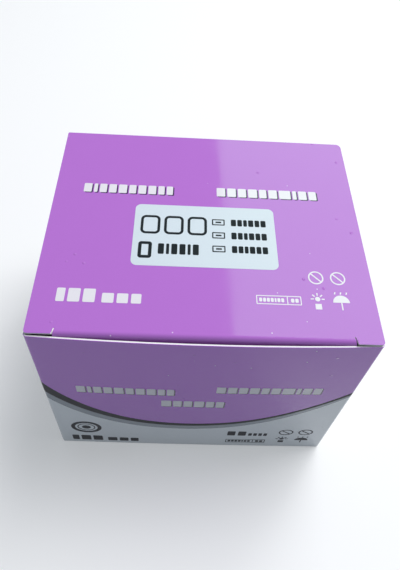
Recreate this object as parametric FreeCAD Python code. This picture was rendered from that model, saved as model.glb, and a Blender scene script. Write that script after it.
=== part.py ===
import FreeCAD, Part
import math
import os

# Closed folding carton of a hundred single-packed injection needles, in millimetres.
# Origin at the centre of the base: +X to the right, the front panel faces -Y, +Z up.

V = FreeCAD.Vector

# Needle, 0.31 mm across with 4 mm free, under its cap
needle_radius = 0.155
needle_free = 4.0
needle_in_hub = 5.0
needle_fit = 0.005       # clearance of the needle in its hub
socket_radius = 2.0      # taper socket for the syringe, taken as straight
socket_depth = 9.0
hub_wall = 0.3           # around the socket
barrel_length = 9.0
nose_radius = 1.1
nose_length = 6.0
flange_rim = 0.9         # the flange stands this far out from the barrel
flange_length = 2.0
cap_wall = 0.6
cap_fit = 0.02           # clearance of the cap on the hub's barrel
cap_length = 30.0

# Sealed pack: a formed pocket over each needle, with flat film around it
film = 0.2
paper = 0.12
pocket_end_room = 3.0    # from the pocket's end to the hub
cap_end_room = 9.0       # from the cap to the pocket's other end
pocket_side_room = 1.1   # beside the flange
pocket_top_room = 0.5    # above the flange
pocket_draft = 1.0       # each wall leans in by this
seal_end = 3.5           # flat film past the pocket's ends
seal_side = 2.5          # and beside it

# Strips of packs, in two stacks
packs_in_strip = 5
layers = 10
stacks = 2
stack_gap = 0.6
layer_gap = 0.05

# Room round the strips, which sets the carton's size
stack_side_room = 0.63   # between the stacks and the side panels
strip_clearance = 0.4    # between the strips and the glue flap
tuck_room = 4.01         # between the strips and the front panel, for the tuck flap
head_room = 15.21        # from the strips to the rim, for the fingers that lift them out

# Carton
board = 0.45             # coated folding boxboard
ink = 0.12               # printed field with its varnish
mark = 0.04              # mark printed over a field
bow_top = 1.3            # the front panel bulges outwards by this at its top edge
bow_foot = 0.3           # and by this at the base
sleeve_spans = 3         # the walls are ruled in this many spans, one above the other
corner_radius = 1.0      # outside of an upright fold
top_radius = 0.9         # outside of the dust flap's fold
foot_radius = 0.9        # outside of the fold under the front and back panels
side_foot_radius = 1.8   # outside of the softer fold under the side panels
inner_foot_radius = 0.5  # inside of that fold
base_layers = 2          # the glued base is two boards thick
ink_foot = 0.35          # the print stops this far above the base
seam_width = 0.3         # line along the edge of the outer base flap
seam_depth = 0.2
seam_setback = 22.0      # from the back panel to that line

# Dust flaps and relief notches at the top of the side panels
dust_length = 35.0
dust_taper_front = 6.0
dust_taper_back = 3.0
dust_shoulder = 3.0      # straight part of the flap beside its fold
dust_tip_radius = 4.0
front_notch = (2.4, 7.3)    # start and end behind the front corner
back_notch = (3.4, 5.9)     # start and end in front of the back panel
notch_depth = 1.2
fold_print = 1.6         # the print reaches this far in over the dust flap's fold

# Glue flap inside the back panel
glue_flap_width = 14.0
glue_flap_end = 4.0      # bare length above and below it
glue_flap_slope = 5.0

# Lid and its tuck flap
lid_rest = 0.05          # clearance between the lid and the dust flaps
hinge_gap = 0.02         # the lid's back edge stays this far inside the hinge line
lid_inset = 0.2          # the lid is this much narrower at each side
shoulder_insets = (0.6, 0.2)       # left and right shoulder, behind the front corners
shoulder_corner_radius = 1.0
lid_corner_radii = (1.0, 2.4)      # left and right corner at the back
crease_round = 0.5       # outside of the lid's back fold
tuck_fold_start = 1.75   # the tuck fold begins this far behind the front corners
tuck_fold_radius = 0.85  # inside of the fold
tuck_lean = 6.5          # degrees inwards, so that the flap swings clear of the front panel
tuck_depth = 16.0        # from the lid's underside to the flap's free edge
tuck_side_room = 8.2     # from the carton's sides to the flap's, at the fold
tuck_taper = 0.8         # each side comes in by this towards the free edge
tuck_corner_radius = 7.0
slit_widths = (0.12, 0.35)         # left and right slit beside the fold, which lock the flap
slit_chip = 0.3          # print chipped off the board along the left slit
slit_length = 2.45       # back from the front corners
slit_slant = 0.6         # they lean inwards towards the back

# Sizes of the needle's pack that follow from these
barrel_radius = socket_radius + hub_wall
flange_radius = barrel_radius + flange_rim
pocket_length = pocket_end_room + flange_length + cap_length + cap_end_room
pocket_width = 2 * (flange_radius + film + pocket_draft + pocket_side_room)
pocket_height = 2 * flange_radius + pocket_top_room + film
pack_length = pocket_length + 2 * seal_end
pack_pitch = pocket_width + 2 * seal_side
layer_pitch = paper + pocket_height + layer_gap

# Sizes of the carton that follow: 105 mm over the side panels, 86 mm from the front corners
# to the back panel and 90 mm from the base to the printed face of the lid
wall = ink + board
width = stacks * pack_length + (stacks - 1) * stack_gap + 2 * (stack_side_room + wall)
panel_depth = packs_in_strip * pack_pitch + strip_clearance + board + tuck_room + 2 * wall
y_back = (panel_depth + bow_top) / 2
y_front = y_back - panel_depth
floor_top = base_layers * board
rim = floor_top + layers * layer_pitch + head_room
dust_top = rim + board
fold_top = dust_top + ink
lid_under = fold_top + lid_rest
height = lid_under + board + ink
tuck_half_width = width / 2 - tuck_side_room
far = 2 * max(width, panel_depth, height)
overshoot = 1.0


def arc_mid(corner, start, end, radius):
    """Point halfway round a corner's arc, which starts and ends on the corner's two sides."""
    middle = (start + end) * 0.5
    towards = middle - corner
    towards.normalize()
    half_chord = (end - start).Length / 2
    centre = middle + towards * math.sqrt(max(radius ** 2 - half_chord ** 2, 0.0))
    return centre - towards * radius


def outline(points, radii=None):
    """Closed wire through points, with an arc of the given radius at each corner that has one."""
    radii = radii or [0.0] * len(points)
    stations = []
    for i, corner in enumerate(points):
        before = points[i - 1] - corner
        after = points[(i + 1) % len(points)] - corner
        if radii[i] <= 0:
            stations.append((corner, None, corner))
            continue
        half_angle = before.getAngle(after) / 2
        reach = radii[i] / math.tan(half_angle)
        start = corner + before.normalize() * reach
        end = corner + after.normalize() * reach
        stations.append((start, arc_mid(corner, start, end, radii[i]), end))
    edges = []
    for i, (start, middle, end) in enumerate(stations):
        if middle is not None:
            edges.append(Part.Arc(start, middle, end).toShape())
        following = stations[(i + 1) % len(stations)][0]
        if (following - end).Length > 1e-6:
            edges.append(Part.makeLine(end, following))
    return Part.Wire(edges)


def prism(points, along, radii=None):
    """Solid swept from an outline of points by the vector along."""
    return Part.Face(outline(points, radii)).extrude(along)


def block(low, high):
    """Box between two corners."""
    size = [b - a for a, b in zip(low, high)]
    return Part.makeBox(*size, V(*low))


def plan_prism(points_xy, z_low, z_high, radii=None):
    return prism([V(x, y, z_low) for x, y in points_xy], V(0, 0, z_high - z_low), radii)


def front_prism(points_xz, y_low, y_high, radii=None):
    return prism([V(x, y_low, z) for x, z in points_xz], V(0, y_high - y_low, 0), radii)


def side_prism(points_yz, x_low, x_high, radii=None):
    return prism([V(x_low, y, z) for y, z in points_yz], V(x_high - x_low, 0, 0), radii)


def rectangle(x_low, x_high, y_low, y_high):
    return [(x_low, y_low), (x_high, y_low), (x_high, y_high), (x_low, y_high)]


def sleeve_plan(inset, bow, z):
    """Outline of the four walls at one height, inset from the printed faces."""
    half = width / 2 - inset
    front = y_front + inset
    back = y_back - inset
    radius = max(corner_radius - inset, 0.3)
    flat = half - radius
    slope = math.sqrt(0.5) * radius
    lines = Part.makeLine
    return Part.Wire([
        Part.Arc(V(-flat, front, z), V(0, front - bow, z), V(flat, front, z)).toShape(),
        Part.Arc(V(flat, front, z), V(flat + slope, front + radius - slope, z),
                 V(half, front + radius, z)).toShape(),
        lines(V(half, front + radius, z), V(half, back - radius, z)),
        Part.Arc(V(half, back - radius, z), V(flat + slope, back - radius + slope, z),
                 V(flat, back, z)).toShape(),
        lines(V(flat, back, z), V(-flat, back, z)),
        Part.Arc(V(-flat, back, z), V(-flat - slope, back - radius + slope, z),
                 V(-half, back - radius, z)).toShape(),
        lines(V(-half, back - radius, z), V(-half, front + radius, z)),
        Part.Arc(V(-half, front + radius, z), V(-flat - slope, front + radius - slope, z),
                 V(-flat, front, z)).toShape(),
    ])


def sleeve_column(inset, z_low, z_high):
    """Solid column inside the four walls, ruled from the base to the top of the carton."""
    def bow(z):
        return bow_foot + (bow_top - bow_foot) * z / height
    step = (z_high - z_low) / sleeve_spans
    levels = [z_low + i * step for i in range(sleeve_spans + 1)]
    return Part.makeLoft([sleeve_plan(inset, bow(z), z) for z in levels], True, True)


def sleeve_block(inset, z_low, z_high):
    """The column with its side folds rounded above and all four folds rounded at the base."""
    half = width / 2 - inset
    top_round = top_radius - inset
    side_round = side_foot_radius - inset
    foot_round = foot_radius - inset
    across = front_prism(rectangle(-half, half, z_low, z_high), -far, far,
                         [side_round, side_round, top_round, top_round])
    front = y_front + inset - bow_foot
    back = y_back - inset
    foot = side_prism([(front, z_low), (back, z_low), (back, z_high), (-far, z_high),
                       (-far, z_low + foot_round), (front, z_low + foot_round)], -far, far,
                      [foot_round / 2, foot_round, 0, 0, 0, 0])
    return sleeve_column(inset, z_low, z_high).common(across).common(foot)


def dust_flap_plan(side):
    """Plan of one dust flap, from outside the side panel to its tip."""
    root = width / 2 + overshoot
    shoulder = width / 2 - dust_shoulder
    tip = width / 2 - dust_length
    front = y_front + front_notch[1]
    back = y_back - back_notch[1]
    points = [(root, front), (shoulder, front), (tip, front + dust_taper_front),
              (tip, back - dust_taper_back), (shoulder, back), (root, back)]
    radii = [0, 0, dust_tip_radius, dust_tip_radius, 0, 0]
    return [(side * x, y) for x, y in points], radii


def above_rim():
    """Everything above the rim that is neither a dust flap nor the back panel."""
    cut = block((-far, -far, rim), (far, far, height + overshoot))
    for side in (-1, 1):
        points, radii = dust_flap_plan(side)
        cut = cut.cut(plan_prism(points, rim, height + overshoot, radii))
    return cut.cut(block((-far, y_back - wall, rim), (far, far, height + overshoot)))


def notches():
    """Relief notches beside the dust flaps' folds."""
    cuts = []
    for side in (-1, 1):
        inner = side * (width / 2 - 2 * wall)
        outer = side * (width / 2 + overshoot)
        x_low, x_high = sorted((inner, outer))
        for low, high in ((y_front + front_notch[0], y_front + front_notch[1]),
                          (y_back - back_notch[1], y_back - back_notch[0])):
            cuts.append(block((x_low, low, rim - notch_depth), (x_high, high, height)))
    return cuts


def glue_flap():
    """Joint of the carton blank, glued inside the back panel."""
    left = -width / 2 + wall
    right = left + glue_flap_width
    low = floor_top + glue_flap_end
    high = rim - glue_flap_end
    y_inner = y_back - wall - board
    return front_prism([(left, low), (right, low + glue_flap_slope),
                        (right, high - glue_flap_slope), (left, high)], y_inner, y_inner + board)


def base_seam():
    """Line under the carton, where the outer base flap ends."""
    y = y_back - seam_setback
    half = width / 2 - side_foot_radius - wall
    return block((-half, y, -overshoot), (half, y + seam_width, seam_depth))


def inner_space():
    """Room inside the four walls, from the floor to the rim."""
    half = width / 2 - wall
    across = front_prism(rectangle(-half, half, floor_top, rim), -far, far,
                         [inner_foot_radius, inner_foot_radius, 0, 0])
    return sleeve_column(wall, floor_top, rim).common(across)


def make_carton():
    outside = sleeve_block(ink, 0, dust_top)
    inside = inner_space()
    body = outside.cut([inside, above_rim(), base_seam()] + notches())
    return body.fuse(glue_flap()).removeSplitter()


def make_print_skin():
    """Printed layer on the four walls and over the dust flaps' folds."""
    outside = sleeve_block(0, 0, fold_top)
    inside = sleeve_block(ink, 0, dust_top)
    half = width / 2 - fold_print
    over_lid = block((-half, -far, dust_top), (half, far, height))
    under = block((-far, -far, -overshoot), (far, far, ink_foot))
    side_round = width / 2 - top_radius
    over_back = block((-far, y_back - wall, dust_top), (far, far, height))
    rounds = block((-side_round, -far, rim), (side_round, y_back - wall, height))
    return outside.cut([inside, above_rim(), over_lid, over_back, under, rounds] + notches())


# Curved bands round the walls. Each edge is given by its height at stations across the front
# panel; the back panel repeats the front one, turned by half a turn, and a sagging line joins
# them over each side panel.
band_stations = (-1.0, -0.78, -0.456, -0.1, 0.32, 0.65, 1.0)    # shares of half the width
purple_edge = (58.6, 41.5, 29.0, 24.8, 28.2, 38.2, 56.7)
dark_edge = (51.0, 36.5, 25.7, 22.3, 26.1, 36.4, 54.4)
grey_edge = (45.8, 31.9, 22.0, 18.9, 22.9, 33.5, 53.0)
side_sag = 9.0


def curve_top_prism(points, across, along):
    """Solid below a smooth curve through points, closed far under the base."""
    curve = Part.BSplineCurve()
    curve.interpolate(points)
    first, last = points[0], points[-1]
    drop = V(0, 0, -far)
    edges = [curve.toShape(), Part.makeLine(last, last + across),
             Part.makeLine(last + across, last + across + drop),
             Part.makeLine(last + across + drop, first - across + drop),
             Part.makeLine(first - across + drop, first - across),
             Part.makeLine(first - across, first)]
    return Part.Face(Part.Wire(edges)).extrude(along)


def below_band(edge):
    """Everything below one edge of the bands, all the way round the carton."""
    half = width / 2
    y_split = y_front + corner_radius
    y_back_split = y_back - corner_radius
    front_points = [V(share * half, -far, z) for share, z in zip(band_stations, edge)]
    back_points = [V(-share * half, y_back_split, z) for share, z in zip(band_stations, edge)]
    front = curve_top_prism(front_points, V(overshoot, 0, 0), V(0, far + y_split, 0))
    back = curve_top_prism(back_points, V(-overshoot, 0, 0), V(0, far, 0))
    sides = []
    for side, z_front, z_back in ((-1, edge[0], edge[-1]), (1, edge[-1], edge[0])):
        middle = ((y_split + y_back_split) / 2, (z_front + z_back) / 2 - side_sag)
        points = [V(0, y, z) for y, z in ((y_split, z_front), middle, (y_back_split, z_back))]
        slab = curve_top_prism(points, V(0, overshoot, 0), V(side * far, 0, 0))
        sides.append(slab)
    return front, back, sides


def body_fields(skin):
    """The four printed fields of the walls, from the top down."""
    y_split = y_front + corner_radius
    y_back_split = y_back - corner_radius
    zones = [block((-far, -far, -far), (far, y_split, far)),
             block((-far, y_back_split, -far), (far, far, far)),
             block((-far, y_split, -far), (0, y_back_split, far)),
             block((0, y_split, -far), (far, y_back_split, far))]
    walls = [skin.common(zone) for zone in zones]
    edges = []
    for heights in (purple_edge, dark_edge, grey_edge):
        front, back, sides = below_band(heights)
        edges.append([front, back] + sides)
    fields = [[], [], [], []]
    for i, wall_print in enumerate(walls):
        rest = wall_print
        for level, cutters in enumerate(edges):
            fields[level].append(rest.cut(cutters[i]))
            rest = rest.common(cutters[i])
        fields[3].append(rest)
    joined = []
    for parts in fields:
        joined.append(parts[0].fuse(parts[1:]))
    return joined


def lid_profile(low, high):
    """Section of the lid's front fold and tuck flap, between two depths of its layers."""
    y_arc = y_front + tuck_fold_start
    z_arc = lid_under - tuck_fold_radius
    turn = math.radians(90 + tuck_lean)
    inner = tuck_fold_radius + low
    outer = tuck_fold_radius + high
    down = V(0, math.sin(math.radians(tuck_lean)), -math.cos(math.radians(tuck_lean)))

    def on_arc(radius, angle):
        return V(0, y_arc - radius * math.sin(angle), z_arc + radius * math.cos(angle))

    straight = (tuck_depth - tuck_fold_radius) / math.cos(math.radians(tuck_lean))
    inner_end = on_arc(inner, turn) + down * straight
    outer_end = on_arc(outer, turn) + down * straight
    return Part.Face(Part.Wire([
        Part.Arc(on_arc(outer, 0), on_arc(outer, turn / 2), on_arc(outer, turn)).toShape(),
        Part.makeLine(on_arc(outer, turn), outer_end),
        Part.makeLine(outer_end, inner_end),
        Part.makeLine(inner_end, on_arc(inner, turn)),
        Part.Arc(on_arc(inner, turn), on_arc(inner, turn / 2), on_arc(inner, 0)).toShape(),
        Part.makeLine(on_arc(inner, 0), on_arc(outer, 0)),
    ]))


def lid_panel(depth):
    """Lid panel from its underside up to one depth of its layers, its back edge rounded."""
    half = width / 2 - lid_inset
    inset = board + ink - depth
    y_fold = y_front + tuck_fold_start
    y_hinge = y_back - hinge_gap
    left_radius, right_radius = lid_corner_radii
    slab = side_prism([(y_fold, lid_under), (y_hinge - inset, lid_under),
                       (y_hinge - inset, height - inset), (y_fold, height - inset)],
                      -half, half, [0, 0, crease_round - inset, 0])
    plan = plan_prism([(-half, -far), (half, -far), (half, y_hinge), (-half, y_hinge)],
                      0, far, [0, 0, right_radius, left_radius])
    return slab.common(plan)


def lid_layer(low, high):
    """One layer of the lid: the panel with its shoulders, the fold and the tuck flap."""
    half = width / 2 - lid_inset
    z_low = lid_under + low
    z_high = lid_under + high
    panel = lid_panel(high)
    chip = 0.0
    if low > 0:
        panel = panel.cut(lid_panel(low))
        chip = slit_chip
    shoulders = []
    for side, inset in zip((-1, 1), shoulder_insets):
        root = y_front + tuck_fold_start
        tip = y_front + inset
        corners = [(side * tuck_half_width, root), (side * tuck_half_width, tip),
                   (side * half, tip), (side * half, root)]
        shoulders.append(plan_prism(corners, z_low, z_high, [0, 0, shoulder_corner_radius, 0]))
    tongue = lid_profile(low, high)
    tongue.translate(V(-tuck_half_width, 0, 0))
    tongue = tongue.extrude(V(2 * tuck_half_width, 0, 0))
    free_edge = lid_under - tuck_depth - overshoot
    narrow = tuck_half_width - tuck_taper
    shape = front_prism([(-narrow, free_edge + overshoot), (narrow, free_edge + overshoot),
                         (tuck_half_width, height + overshoot),
                         (-tuck_half_width, height + overshoot)],
                        -far, far, [tuck_corner_radius, tuck_corner_radius, 0, 0])
    slits = []
    for side, slit_width, chipped in zip((-1, 1), slit_widths, (chip, 0.0)):
        outer = side * (tuck_half_width + slit_width / 2 + chipped)
        inner = side * (tuck_half_width - slit_width / 2)
        back = y_front + slit_length
        slits.append(plan_prism([(inner, -far), (outer, -far), (outer, y_front),
                                 (outer - side * slit_slant, back),
                                 (inner - side * slit_slant, back), (inner, y_front)],
                                lid_under - tuck_fold_radius, height + overshoot))
    whole = panel.fuse([tongue.common(shape)] + shoulders)
    return whole.cut(slits).removeSplitter()


# Marks printed on the lid and the front panel, as plain shapes. What stands near a side is
# placed from that side.
left_side = -width / 2
right_side = width / 2
label_box = (-24.0, 23.2, -17.7, 7.8)
label_radius = 2.0
letter_gap = 0.75
shadow_shift = (0.45, -0.35)


def lid_y(y):
    """Height on the lid's artwork, measured from the middle of the panel's depth."""
    return y + y_back - panel_depth / 2


def ring(x, y, radius, line):
    """Flat ring, as two circles on the plan."""
    outer = Part.Wire(Part.makeCircle(radius, V(x, y, 0)))
    inner = Part.Wire(Part.makeCircle(radius - line, V(x, y, 0)))
    return Part.Face(outer).cut(Part.Face(inner))


def disc(x, y, radius):
    return Part.Face(Part.Wire(Part.makeCircle(radius, V(x, y, 0))))


def patch(x_low, x_high, y_low, y_high, radius=0.0):
    points = [V(x, y, 0) for x, y in rectangle(x_low, x_high, y_low, y_high)]
    return Part.Face(outline(points, [radius] * 4))


def bar(x1, y1, x2, y2, thick):
    """Straight stroke between two points."""
    along = V(x2 - x1, y2 - y1, 0)
    side = V(-along.y, along.x, 0).normalize() * (thick / 2)
    a, b = V(x1, y1, 0), V(x2, y2, 0)
    return Part.Face(outline([a - side, b - side, b + side, a + side]))


def word(x_low, x_high, y_low, y_high, widths, gap):
    """Row of plain blocks that stands for a word; widths are shares of the row."""
    room = x_high - x_low - gap * (len(widths) - 1)
    scale = room / sum(widths)
    blocks = []
    x = x_low
    for share in widths:
        corner = min(0.4, 0.35 * share * scale)
        blocks.append(patch(x, x + share * scale, y_low, y_high, corner))
        x += share * scale + gap
    return blocks


def frame_mark(x_low, x_high, y_low, y_high, line, radius):
    outer = patch(x_low, x_high, y_low, y_high, radius)
    return outer.cut(patch(x_low + line, x_high - line, y_low + line, y_high - line,
                           max(radius - line, 0.1)))


def merged(shapes):
    """Flat shapes that touch, joined into as few as they make."""
    return shapes[0].fuse(shapes[1:]).removeSplitter().Faces


def crossed_ring(x, y, radius, line):
    reach = (radius - line / 2) * math.sqrt(0.5)
    stroke = bar(x - reach, y + reach, x + reach, y - reach, line)
    return merged([ring(x, y, radius, line), stroke])


def sun_over_square(x, y, size, line):
    """Keep from sunlight: a small square under a dot with rays."""
    shapes = [patch(x - 0.36 * size, x + 0.36 * size, y - size, y - 0.28 * size)]
    shapes.append(disc(x, y + 0.35 * size, 0.3 * size))
    for angle in (0, 45, 90, 135, 180):
        turn = math.radians(angle)
        near, away = 0.45 * size, 0.8 * size
        shapes.append(bar(x + near * math.cos(turn), y + 0.35 * size + near * math.sin(turn),
                          x + away * math.cos(turn), y + 0.35 * size + away * math.sin(turn),
                          line))
    return shapes


def umbrella(x, y, size, line):
    """Keep dry: a half disc on a stem, with drops above."""
    canopy = disc(x, y, size).common(patch(x - size, x + size, y, y + size))
    shapes = merged([canopy, patch(x - line / 2, x + line / 2, y - size, y)])
    for step in (-0.7, 0.0, 0.7):
        shapes.append(bar(x + step * size + 0.1 * size, y + 1.45 * size,
                          x + step * size, y + 1.15 * size, line))
    return shapes


def count_line(x, y_low, y_high, scale):
    """Three numerals and three letters of a count, as plain blocks of two heights."""
    top = y_high
    low = y_low
    shapes = word(x, x + 11.6 * scale, low, top, (0.7, 1, 1), 0.9 * scale)
    small_top = low + 0.72 * (top - low)
    shapes += word(x + 13.6 * scale, x + 25.4 * scale, low, small_top, (1, 0.95, 0.85), 0.9 * scale)
    return shapes


first_word = (1, 0.45, 0.9, 0.95, 1.05, 0.9, 1, 1, 0.8, 0.8)
second_word = (1, 1, 0.95, 1.05, 0.85, 1, 1.35, 0.45, 0.95, 0.9)
third_word = (1, 0.85, 0.85, 1, 0.8, 0.8)


def boxed_words(x_low, x_high, y_low, y_high, line):
    """Frame split in two, with a row of small blocks in each part."""
    margin = 3 * line
    split = x_low + 0.68 * (x_high - x_low)
    shapes = [frame_mark(x_low, x_high, y_low, y_high, line, line)]
    shapes.append(patch(split, split + line, y_low + line, y_high - line))
    low, high = y_low + margin, y_high - margin
    shapes += word(x_low + margin, split - margin, low, high, (1, 1, 1, 1, 0.6, 1, 1), line)
    shapes += word(split + line + margin, x_high - margin, low, high, (1, 1), line)
    return shapes


def lid_white_shapes():
    """White marks of the lid that throw a printed shadow, then those that don't."""
    bold = word(left_side + 9.9, -11.6, 12.6, 16.6, first_word, letter_gap)
    bold += word(3.8, right_side - 13.2, 12.9, 16.9, second_word, letter_gap)
    plain = count_line(left_side + 7.5, -31.7, -27.0, 1.0)
    plain += crossed_ring(right_side - 17.9, -20.1, 2.45, 0.45)
    plain += crossed_ring(right_side - 10.9, -20.1, 2.45, 0.45)
    plain += boxed_words(right_side - 37.3, right_side - 23.4, -30.4, -27.2, 0.3)
    plain += sun_over_square(right_side - 18.3, -28.9, 2.7, 0.4)
    plain += umbrella(right_side - 11.0, -29.0, 2.6, 0.4)
    return bold, plain


def label_shapes():
    """Dark marks on the white label: open frames and bars in place of its figures."""
    shapes = []
    for x in (-21.8, -14.0, -6.2):
        shapes.append(frame_mark(x, x + 6.5, -4.9, 3.0, 0.9, 1.8))
    shapes.append(frame_mark(-22.0, -17.6, -14.8, -8.2, 1.1, 1.0))
    shapes += word(-15.6, -2.4, -13.0, -8.8, (1, 0.5, 1, 1, 0.5, 1), 0.7)
    for y in (1.0, -4.6, -10.2):
        shapes.append(frame_mark(2.0, 6.3, y - 1.3, y + 1.3, 0.4, 0.3))
        shapes.append(patch(3.2, 5.1, y - 0.3, y + 0.3))
        shapes += word(8.4, 20.2, y - 1.4, y + 1.4, (1, 0.9, 0.7, 1, 0.9, 1), 0.45)
    return shapes


def front_white_shapes():
    bold = word(left_side + 11.4, -8.5, 51.4, 56.3, first_word, letter_gap)
    bold += word(5.6, right_side - 11.6, 54.6, 59.4, second_word, letter_gap)
    bold += word(-12.7, 9.1, 41.7, 46.8, third_word, letter_gap)
    return bold


def front_dark_shapes():
    emblem = (left_side + 11.2, 17.3)
    shapes = [ring(*emblem, 5.8, 1.5), ring(*emblem, 3.4, 0.4), disc(*emblem, 1.7)]
    shapes += count_line(left_side + 4.7, 2.9, 8.0, 1.03)
    shapes += word(right_side - 39.2, right_side - 31.9, 12.4, 17.0, (1, 1), 1.1)
    shapes += word(right_side - 30.9, right_side - 23.5, 12.4, 15.2, (1, 1, 1, 1), 0.6)
    shapes += boxed_words(right_side - 39.2, right_side - 23.3, 4.2, 7.8, 0.3)
    shapes += crossed_ring(right_side - 16.4, 16.7, 2.85, 0.5)
    shapes += crossed_ring(right_side - 8.7, 16.9, 2.85, 0.5)
    shapes += sun_over_square(right_side - 16.9, 8.2, 3.0, 0.45)
    shapes += umbrella(right_side - 8.9, 8.0, 2.7, 0.45)
    return shapes


def on_lid(faces, level):
    """Raise flat marks into thin solids on the lid, at a level above its printed face."""
    solids = []
    for face in faces:
        raised = face.copy()
        raised.translate(V(0, lid_y(0), height + level))
        solids.append(raised.extrude(V(0, 0, mark)))
    return solids


def on_front(faces, low, high):
    """Wrap flat marks over the bowed front panel, between two heights above its print."""
    outside = sleeve_column(-high, 0, fold_top)
    inside = sleeve_column(-low, 0, fold_top)
    skin = outside.cut(inside).common(block((-far, -far, 0), (far, y_front + corner_radius, far)))
    solids = []
    for face in faces:
        upright = face.copy()
        upright.rotate(V(0, 0, 0), V(1, 0, 0), 90)
        upright.translate(V(0, y_front + overshoot, 0))
        solids.append(upright.extrude(V(0, -2 * overshoot - bow_top, 0)).common(skin))
    return solids


def shifted(faces):
    moved = []
    for face in faces:
        shade = face.copy()
        shade.translate(V(shadow_shift[0], shadow_shift[1], 0))
        moved.append(shade)
    return moved


def shadows(faces):
    """What a mark's printed shadow shows: the shifted mark less all the marks themselves."""
    shades = []
    for shade in shifted(faces):
        left_over = shade.cut(faces)
        shades += [face for face in left_over.Faces if face.Area > 0.02]
    return shades


def frustum(length, across, tall, draft, centre, z_low):
    """Pocket form: a box whose four walls lean inwards."""
    cx, cy = centre

    def wire(grow, z):
        half_x = length / 2 - grow
        half_y = across / 2 - grow
        points = [V(cx + sx * half_x, cy + sy * half_y, z)
                  for sx, sy in ((-1, -1), (1, -1), (1, 1), (-1, 1))]
        return Part.makePolygon(points + points[:1])

    return Part.makeLoft([wire(0, z_low), wire(draft, z_low + tall)], True, True)


def pack_centres():
    first = -(packs_in_strip - 1) * pack_pitch / 2
    return [first + i * pack_pitch for i in range(packs_in_strip)]


def make_film():
    """Formed film of one strip, centred on its own middle, standing on its paper."""
    half_x = pack_length / 2
    half_y = packs_in_strip * pack_pitch / 2
    sheet = block((-half_x, -half_y, paper), (half_x, half_y, paper + film))
    outer = [frustum(pocket_length, pocket_width, pocket_height, pocket_draft, (0, y), paper)
             for y in pack_centres()]
    inner = [frustum(pocket_length - 2 * film, pocket_width - 2 * film, pocket_height - film,
                     pocket_draft, (0, y), paper) for y in pack_centres()]
    under = [block((-pocket_length / 2, y - pocket_width / 2, -overshoot),
                   (pocket_length / 2, y + pocket_width / 2, paper)) for y in pack_centres()]
    return sheet.fuse(outer).cut(inner + under).removeSplitter()


def make_paper():
    half_x = pack_length / 2
    half_y = packs_in_strip * pack_pitch / 2
    return block((-half_x, -half_y, 0), (half_x, half_y, paper))


def turned(profile):
    """Solid of revolution about X from (x, radius) points."""
    points = [V(x, 0, r) for x, r in profile]
    face = Part.Face(Part.makePolygon(points + points[:1]))
    return face.revolve(V(0, 0, 0), V(1, 0, 0), 360)


def make_needle():
    """Hub, needle and cap about the X axis; the hub's flange starts at x = 0."""
    barrel_end = flange_length + barrel_length
    nose_end = barrel_end + nose_length
    bore = needle_radius + needle_fit
    hub = turned([(0, socket_radius), (0, flange_radius), (flange_length, flange_radius),
                  (flange_length, barrel_radius), (barrel_end, barrel_radius),
                  (barrel_end, nose_radius), (nose_end, nose_radius), (nose_end, bore),
                  (socket_depth, bore), (socket_depth, socket_radius)])
    tube = Part.makeCylinder(needle_radius, needle_in_hub + needle_free,
                             V(nose_end - needle_in_hub, 0, 0), V(1, 0, 0))
    bore_cap = barrel_radius + cap_fit
    narrow = nose_radius + cap_wall
    cap_end = flange_length + cap_length
    cap = turned([(flange_length, bore_cap), (flange_length, bore_cap + cap_wall),
                  (barrel_end, bore_cap + cap_wall), (cap_end, narrow + cap_wall), (cap_end, 0),
                  (cap_end - cap_wall, 0), (cap_end - cap_wall, narrow), (barrel_end, bore_cap)])
    return hub, tube, cap


def strip_places():
    """Middle and floor of each strip, from the bottom layer up, left stack first."""
    y = y_back - wall - board - strip_clearance - packs_in_strip * pack_pitch / 2
    stack_pitch = pack_length + stack_gap
    first = -(stacks - 1) * stack_pitch / 2
    return [V(first + stack * stack_pitch, y, floor_top + layer * layer_pitch)
            for layer in range(layers) for stack in range(stacks)]


def place(shape, where):
    copy = shape.copy()
    copy.translate(where)
    return copy


os.makedirs("parts", exist_ok=True)


def save(name, shape):
    shape.exportStep("parts/" + name + ".step")


def save_group(name, solids):
    save(name, Part.makeCompound(solids))


save("carton", make_carton())
save("lid", lid_layer(0, board))
save("lid_purple", lid_layer(board, board + ink))

purple, dark, grey, pale = body_fields(make_print_skin())
save("body_purple", purple)
save("body_dark_band", dark)
save("body_grey_band", grey)
save("body_pale_field", pale)

label = [patch(*label_box, label_radius)]
save_group("lid_label", on_lid(label, 0))
save_group("lid_label_marks", on_lid(label_shapes(), mark))
bold_marks, plain_marks = lid_white_shapes()
save_group("lid_white_marks", on_lid(bold_marks + plain_marks, 0))
save_group("lid_mark_shadows", on_lid(shadows(bold_marks), 0))
front_marks = front_white_shapes()
save_group("front_white_marks", on_front(front_marks, 0, mark))
save_group("front_mark_shadows", on_front(shadows(front_marks), 0, mark))
save_group("front_dark_marks", on_front(front_dark_shapes(), 0, mark))

strip_film = make_film()
strip_paper = make_paper()
hub, tube, cap = make_needle()
hubs, tubes, caps = [], [], []
for number, corner in enumerate(strip_places(), start=1):
    save("blister_film_%02d" % number, place(strip_film, corner))
    save("backing_paper_%02d" % number, place(strip_paper, corner))
    for y_pack in pack_centres():
        start = V(-pocket_length / 2 + pocket_end_room, y_pack, paper + flange_radius)
        hubs.append(place(hub, corner + start))
        tubes.append(place(tube, corner + start))
        caps.append(place(cap, corner + start))
save_group("needle_hubs", hubs)
save_group("needle_tubes", tubes)
save_group("needle_caps", caps)
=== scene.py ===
import math

import bmesh
import bpy
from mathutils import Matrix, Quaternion, Vector


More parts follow.
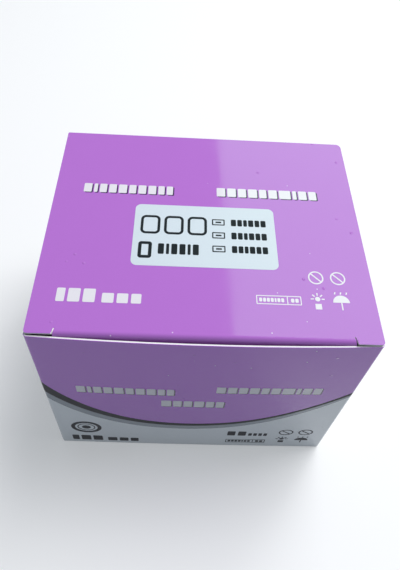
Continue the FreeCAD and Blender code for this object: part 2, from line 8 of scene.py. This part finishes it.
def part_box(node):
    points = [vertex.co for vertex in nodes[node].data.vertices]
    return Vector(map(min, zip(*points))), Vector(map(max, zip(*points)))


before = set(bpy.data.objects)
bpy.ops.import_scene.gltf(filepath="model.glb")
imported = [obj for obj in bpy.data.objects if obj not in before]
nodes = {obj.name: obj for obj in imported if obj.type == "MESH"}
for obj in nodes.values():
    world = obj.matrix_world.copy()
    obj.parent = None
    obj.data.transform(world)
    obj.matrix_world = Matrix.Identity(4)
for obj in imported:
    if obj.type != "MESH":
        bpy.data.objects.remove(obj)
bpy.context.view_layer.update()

MM = 0.001


# Node trees

def new_material(name):
    """Empty material with an output; returns it and its tree."""
    material = bpy.data.materials.new(name)
    material.use_nodes = True
    tree = material.node_tree
    tree.nodes.clear()
    return material, tree


def add_node(tree, kind, **settings):
    """Node of a kind; settings name its properties, or its input sockets by their labels."""
    node = tree.nodes.new(kind)
    for key, value in settings.items():
        if hasattr(node, key):
            setattr(node, key, value)
        else:
            node.inputs[key.replace("_", " ")].default_value = value
    return node


def object_coordinates(tree):
    return add_node(tree, "ShaderNodeTexCoord").outputs["Object"]


def calculate(tree, operation, first, second=0.0):
    """Result of a sum on two values, each a number or an output."""
    node = add_node(tree, "ShaderNodeMath", operation=operation)
    for socket, value in zip(node.inputs, (first, second)):
        if isinstance(value, bpy.types.NodeSocket):
            tree.links.new(value, socket)
        else:
            socket.default_value = value
    return node.outputs["Value"]


def noise(tree, coordinates, scale, detail=2.0, roughness=0.5):
    node = add_node(tree, "ShaderNodeTexNoise", Scale=scale, Detail=detail, Roughness=roughness)
    tree.links.new(coordinates, node.inputs["Vector"])
    return node.outputs["Fac"]


def remap(tree, value, low, high, from_low=0.3, from_high=0.7):
    """Value taken from one range to another and held inside it."""
    node = add_node(tree, "ShaderNodeMapRange")
    node.inputs["From Min"].default_value = from_low
    node.inputs["From Max"].default_value = from_high
    node.inputs["To Min"].default_value = low
    node.inputs["To Max"].default_value = high
    tree.links.new(value, node.inputs["Value"])
    return node.outputs["Result"]


def spots(tree, coordinates, per_metre, radius, soft):
    """Scattered round spots: 1 inside the radius, falling to 0 over the soft margin."""
    cells = add_node(tree, "ShaderNodeTexVoronoi", Scale=per_metre)
    tree.links.new(coordinates, cells.inputs["Vector"])
    return remap(tree, cells.outputs["Distance"], 1.0, 0.0,
                 radius * per_metre, (radius + soft) * per_metre)


def blend_colours(tree, share, first, second):
    """Colour between two, each a tuple or an output."""
    node = add_node(tree, "ShaderNodeMix", data_type="RGBA")
    tree.links.new(share, node.inputs["Factor"])
    for socket, colour in (("A", first), ("B", second)):
        target = [s for s in node.inputs if s.name == socket and s.type == "RGBA"][0]
        if isinstance(colour, tuple):
            target.default_value = colour
        else:
            tree.links.new(colour, target)
    return [s for s in node.outputs if s.type == "RGBA"][0]


def bump(tree, height, distance, below=None):
    """Normal of a surface whose height runs over a distance in metres."""
    node = add_node(tree, "ShaderNodeBump", Strength=1.0, Distance=distance)
    tree.links.new(height, node.inputs["Height"])
    if below is not None:
        tree.links.new(below, node.inputs["Normal"])
    return node.outputs["Normal"]


def finish_shader(tree, **settings):
    """Principled shader wired to the output; settings are constants or outputs by socket."""
    shader = add_node(tree, "ShaderNodeBsdfPrincipled")
    output = add_node(tree, "ShaderNodeOutputMaterial")
    for key, value in settings.items():
        socket = shader.inputs[key.replace("_", " ")]
        if isinstance(value, bpy.types.NodeSocket):
            tree.links.new(value, socket)
        else:
            socket.default_value = value
    tree.links.new(shader.outputs["BSDF"], output.inputs["Surface"])
    return shader


def srgb(red, green, blue):
    """Colour written as the eight-bit values that it shows on a screen."""
    def linear(value):
        share = value / 255
        return share / 12.92 if share <= 0.04045 else ((share + 0.055) / 1.055) ** 2.4
    return (linear(red), linear(green), linear(blue), 1.0)


def scaled(colour, factor):
    return tuple(min(part * factor, 1.0) for part in colour[:3]) + (1.0,)


# Finishes

def varnished_print(name, colour, dusty=True, gloss=(0.05, 0.09)):
    """Ink under clear varnish on coated board: faint mottling and grain, and small dents.

    Gloss is the range of its roughness.
    """
    material, tree = new_material(name)
    place = object_coordinates(tree)
    mottle = noise(tree, place, 130.0, 3.0)
    grain = noise(tree, place, 1900.0, 2.0, 0.6)
    tone = blend_colours(tree, remap(tree, mottle, 0.0, 1.0), scaled(colour, 0.985),
                         scaled(colour, 1.015))
    tone = blend_colours(tree, remap(tree, grain, 0.0, 0.5), scaled(colour, 0.95), tone)
    if dusty:
        dust = remap(tree, spots(tree, place, 140.0, 0.14 * MM, 0.10 * MM), 0.0, 0.75, 0.0, 1.0)
        dust_colour = srgb(238, 234, 242)
        tone = blend_colours(tree, dust, tone, dust_colour)
    dents = spots(tree, place, 120.0, 0.25 * MM, 0.30 * MM)
    surface = bump(tree, noise(tree, place, 60.0, 1.0), 0.012 * MM)
    surface = bump(tree, grain, 0.0004 * MM, surface)
    surface = bump(tree, dents, 0.14 * MM, surface)
    finish_shader(tree, Base_Color=tone, Normal=surface,
                  Roughness=remap(tree, mottle, gloss[0], gloss[1]))
    return material


def raw_board(name, colour):
    """Uncoated inside and cut edges of folding boxboard."""
    material, tree = new_material(name)
    place = object_coordinates(tree)
    cloud = noise(tree, place, 260.0, 4.0, 0.6)
    fibre = noise(tree, place, 2200.0, 3.0, 0.7)
    tone = blend_colours(tree, remap(tree, cloud, 0.0, 1.0), scaled(colour, 0.97),
                         scaled(colour, 1.02))
    tone = blend_colours(tree, remap(tree, fibre, 0.0, 0.2), tone, scaled(colour, 0.88))
    finish_shader(tree, Base_Color=tone, Normal=bump(tree, fibre, 0.02 * MM),
                  Roughness=remap(tree, fibre, 0.7, 0.9))
    return material


def layer_height(tree, place):
    """Height above the underside of the strip that a point belongs to, and its parts of place."""
    parts = add_node(tree, "ShaderNodeSeparateXYZ")
    tree.links.new(place, parts.inputs["Vector"])
    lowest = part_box("backing_paper_01")[0].z
    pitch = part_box("backing_paper_03")[0].z - lowest
    above = calculate(tree, "SUBTRACT", parts.outputs["Z"], lowest)
    return calculate(tree, "FLOORED_MODULO", above, pitch), parts


def perforations(tree, parts):
    """Dashed lines between the packs of a strip, 1 on a dash and 0 elsewhere."""
    low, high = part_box("blister_film_01")
    packs = 5
    pitch = (high.y - low.y) / packs
    across = calculate(tree, "DIVIDE", calculate(tree, "SUBTRACT", parts.outputs["Y"], low.y),
                       pitch)
    nearest = calculate(tree, "PINGPONG", across, 0.5)
    line = remap(tree, nearest, 1.0, 0.0, 0.010, 0.018)
    dash_length = 2.4 * MM
    along = calculate(tree, "PINGPONG", calculate(tree, "DIVIDE", parts.outputs["X"],
                                                  dash_length), 0.5)
    return calculate(tree, "MULTIPLY", line, remap(tree, along, 1.0, 0.0, 0.28, 0.32))


def clear_film(name):
    """Thin formed film: clear over the pockets, knurled and perforated where it is sealed."""
    material, tree = new_material(name)
    place = object_coordinates(tree)
    height, parts = layer_height(tree, place)
    sealed = remap(tree, height, 1.0, 0.0, 0.45 * MM, 0.60 * MM)
    dashes = calculate(tree, "MULTIPLY", perforations(tree, parts), sealed)
    knurl_pitch = 0.9 * MM
    ribs = [calculate(tree, "PINGPONG", calculate(tree, "DIVIDE", parts.outputs[axis],
                                                  knurl_pitch), 0.5) for axis in ("X", "Y")]
    knurl = calculate(tree, "MULTIPLY", calculate(tree, "MINIMUM", *ribs), sealed)
    edge = add_node(tree, "ShaderNodeLayerWeight", Blend=0.35)
    cover = remap(tree, edge.outputs["Facing"], 0.10, 0.62, 0.25, 1.0)
    cover = calculate(tree, "MAXIMUM", cover, calculate(tree, "MULTIPLY", dashes, 0.5))
    tone = blend_colours(tree, dashes, srgb(236, 241, 245), srgb(150, 156, 164))
    surface = bump(tree, noise(tree, place, 160.0, 1.0), 0.05 * MM)
    surface = bump(tree, knurl, 0.12 * MM, surface)
    finish_shader(tree, Base_Color=tone, Alpha=cover, Normal=surface,
                  Roughness=remap(tree, sealed, 0.06, 0.22, 0.0, 1.0))
    return material


def medical_paper(name, colour):
    """White fibrous paper behind the film, with the strip's dashed perforations."""
    material, tree = new_material(name)
    place = object_coordinates(tree)
    parts = layer_height(tree, place)[1]
    fibre = noise(tree, place, 1500.0, 4.0, 0.7)
    tone = blend_colours(tree, remap(tree, fibre, 0.0, 0.25), colour, scaled(colour, 0.88))
    tone = blend_colours(tree, perforations(tree, parts), tone, srgb(168, 170, 176))
    finish_shader(tree, Base_Color=tone, Normal=bump(tree, fibre, 0.015 * MM), Roughness=0.85)
    return material


def moulded_hub(name, colour):
    """Slightly waxy injection-moulded plastic."""
    material, tree = new_material(name)
    place = object_coordinates(tree)
    flow = noise(tree, place, 500.0, 2.0)
    tone = blend_colours(tree, remap(tree, flow, 0.0, 1.0), scaled(colour, 0.95),
                         scaled(colour, 1.03))
    finish_shader(tree, Base_Color=tone, Subsurface_Weight=0.3, Subsurface_Scale=0.001,
                  Roughness=remap(tree, flow, 0.24, 0.38),
                  Normal=bump(tree, flow, 0.01 * MM))
    return material


def milky_cap(name):
    """Translucent cap: denser where it is seen edge on."""
    material, tree = new_material(name)
    place = object_coordinates(tree)
    flow = noise(tree, place, 500.0, 2.0)
    edge = add_node(tree, "ShaderNodeLayerWeight", Blend=0.4)
    tone = blend_colours(tree, remap(tree, flow, 0.0, 1.0), srgb(226, 231, 235),
                         srgb(240, 244, 247))
    finish_shader(tree, Base_Color=tone, Normal=bump(tree, flow, 0.01 * MM),
                  Alpha=remap(tree, edge.outputs["Facing"], 0.42, 0.9, 0.1, 1.0),
                  Roughness=remap(tree, flow, 0.22, 0.34))
    return material


def drawn_steel(name):
    """Bright steel tube with fine lines along it."""
    material, tree = new_material(name)
    place = object_coordinates(tree)
    stretch = add_node(tree, "ShaderNodeMapping", Scale=(0.05, 1.0, 1.0))
    tree.links.new(place, stretch.inputs["Vector"])
    lines = noise(tree, stretch.outputs["Vector"], 4000.0, 2.0)
    finish_shader(tree, Base_Color=srgb(205, 206, 208), Metallic=1.0,
                  Roughness=remap(tree, lines, 0.2, 0.34))
    return material


purple_print = varnished_print("purple_print", srgb(181, 113, 206))
# Same purple ink as the lid. This copy's colour is painted shade: it is shifted bluer and more
# saturated to stand in for the cool shade on the front face and to offset the grey reflection
# there.
shade_tinted_purple_print = varnished_print("shade_tinted_purple_print", srgb(181, 90, 219))
dark_print = varnished_print("dark_print", srgb(16, 18, 30), dusty=False, gloss=(0.62, 0.70))
grey_print = varnished_print("grey_print", srgb(132, 144, 156), dusty=False)
pale_print = varnished_print("pale_print", srgb(237, 242, 246), dusty=False)
label_print = varnished_print("label_print", srgb(209, 219, 228), dusty=False, gloss=(0.40, 0.48))
white_print = varnished_print("white_print", srgb(229, 226, 233), dusty=False)
shadow_print = varnished_print("shadow_print", srgb(66, 40, 88), dusty=False)
board_white = raw_board("board_white", srgb(243, 240, 241))

finishes = {
    "carton": board_white,
    "lid": board_white,
    "lid_purple": purple_print,
    "body_purple": shade_tinted_purple_print,
    "body_dark_band": dark_print,
    "body_grey_band": grey_print,
    "body_pale_field": pale_print,
    "lid_label": label_print,
    "lid_label_marks": dark_print,
    "lid_white_marks": white_print,
    "lid_mark_shadows": shadow_print,
    "front_white_marks": white_print,
    "front_mark_shadows": shadow_print,
    "front_dark_marks": dark_print,
    "needle_hubs": moulded_hub("hub_yellow", srgb(240, 206, 52)),
    "needle_caps": milky_cap("cap_plastic"),
    "needle_tubes": drawn_steel("needle_steel"),
}
film_finish = clear_film("clear_film")
paper_finish = medical_paper("backing_paper", srgb(238, 239, 238))


def paint(node, material):
    node.data.materials.clear()
    node.data.materials.append(material)


for name, node in nodes.items():
    if name.startswith("blister_film"):
        paint(node, film_finish)
    elif name.startswith("backing_paper"):
        paint(node, paper_finish)
    else:
        paint(node, finishes[name])


# Floor, light and camera

def make_floor():
    """Pale floor that shows nearly white and throws back less light than it shows."""
    mesh = bpy.data.meshes.new("floor")
    shape = bmesh.new()
    bmesh.ops.create_grid(shape, x_segments=1, y_segments=1, size=6.0)
    shape.to_mesh(mesh)
    shape.free()
    floor = bpy.data.objects.new("floor", mesh)
    bpy.context.collection.objects.link(floor)
    material, tree = new_material("studio_floor")
    pale = (0.955, 0.96, 0.965, 1.0)
    own_glow = 0.30           # share of its brightness that no shadow takes away
    lit = add_node(tree, "ShaderNodeBsdfDiffuse", Color=pale)
    glow = add_node(tree, "ShaderNodeEmission", Color=pale, Strength=1.0)
    seen = add_node(tree, "ShaderNodeMixShader", Fac=own_glow)
    tree.links.new(lit.outputs["BSDF"], seen.inputs[1])
    tree.links.new(glow.outputs["Emission"], seen.inputs[2])
    thrown = add_node(tree, "ShaderNodeBsdfDiffuse", Color=(0.31, 0.33, 0.36, 1.0))
    rays = add_node(tree, "ShaderNodeLightPath")
    shown = calculate(tree, "MAXIMUM", rays.outputs["Is Camera Ray"],
                      rays.outputs["Is Glossy Ray"])
    shown = calculate(tree, "MAXIMUM", shown, rays.outputs["Is Transmission Ray"])
    mix = add_node(tree, "ShaderNodeMixShader")
    output = add_node(tree, "ShaderNodeOutputMaterial")
    tree.links.new(shown, mix.inputs[0])
    tree.links.new(thrown.outputs["BSDF"], mix.inputs[1])
    tree.links.new(seen.outputs["Shader"], mix.inputs[2])
    tree.links.new(mix.outputs["Shader"], output.inputs["Surface"])
    mesh.materials.append(material)


def make_world(colour, strength):
    world = bpy.data.worlds.new("studio")
    bpy.context.scene.world = world
    world.use_nodes = True
    background = world.node_tree.nodes["Background"]
    background.inputs["Color"].default_value = colour
    background.inputs["Strength"].default_value = strength


def make_panel(name, place, facing, size, brightness, roll=0.0):
    """Soft rectangular light with no reflection, turned to face a direction and rolled about it."""
    width, height = size
    lamp = bpy.data.lights.new(name, "AREA")
    lamp.shape = "RECTANGLE"
    lamp.size = width
    lamp.size_y = height
    lamp.energy = brightness * math.pi * width * height
    holder = bpy.data.objects.new(name, lamp)
    bpy.context.collection.objects.link(holder)
    holder.location = place
    turn = Vector(facing).to_track_quat("-Z", "Y")
    holder.rotation_euler = (Quaternion(Vector(facing).normalized(), roll) @ turn).to_euler()
    holder.visible_glossy = False
    return holder


def make_reflection(source, colour, brightness):
    """Tinted copy just in front of a panel that shows only as a reflection in gloss."""
    lamp = source.data.copy()
    lamp.color = colour
    lamp.energy = brightness * math.pi * lamp.size * lamp.size_y
    holder = bpy.data.objects.new(source.name + "_reflection", lamp)
    bpy.context.collection.objects.link(holder)
    step_ahead = 10 * MM
    forwards = source.rotation_euler.to_quaternion() @ Vector((0.0, 0.0, -1.0))
    holder.location = source.location + step_ahead * forwards
    holder.rotation_euler = source.rotation_euler
    holder.visible_diffuse = False


def make_camera():
    """Camera at the photograph's place and angle; lengths follow its 400 by 570 pixel frame."""
    frame_height = 570
    focal_pixels = 555.7
    axis_row = 222            # image row that the optical axis meets
    camera = bpy.data.cameras.new("camera")
    camera.sensor_width = 36.0
    camera.lens = camera.sensor_width * focal_pixels / frame_height
    camera.shift_y = (axis_row - frame_height / 2) / frame_height
    camera.clip_start = 0.01
    holder = bpy.data.objects.new("camera", camera)
    bpy.context.collection.objects.link(holder)
    holder.location = (-10.13 * MM, -117.93 * MM, 233.93 * MM)
    holder.rotation_euler = [math.radians(angle) for angle in (39.640, -3.373, 0.190)]
    bpy.context.scene.camera = holder


make_floor()
make_world((0.80, 0.90, 1.0, 1.0), 0.31)
make_panel("key", (0.40, 0.24, 1.08), (-0.40, -0.24, -1.0), (0.6, 0.6), 8.6)
window = make_panel("window", (0.552, 0.90, 1.292), (0.0, -1.0, 0.0), (0.8, 1.7), 2.4,
                    math.radians(-8.3))
make_reflection(window, (0.60, 1.0, 0.62), 2.3)
make_camera()
bpy.context.scene.view_settings.view_transform = "Standard"
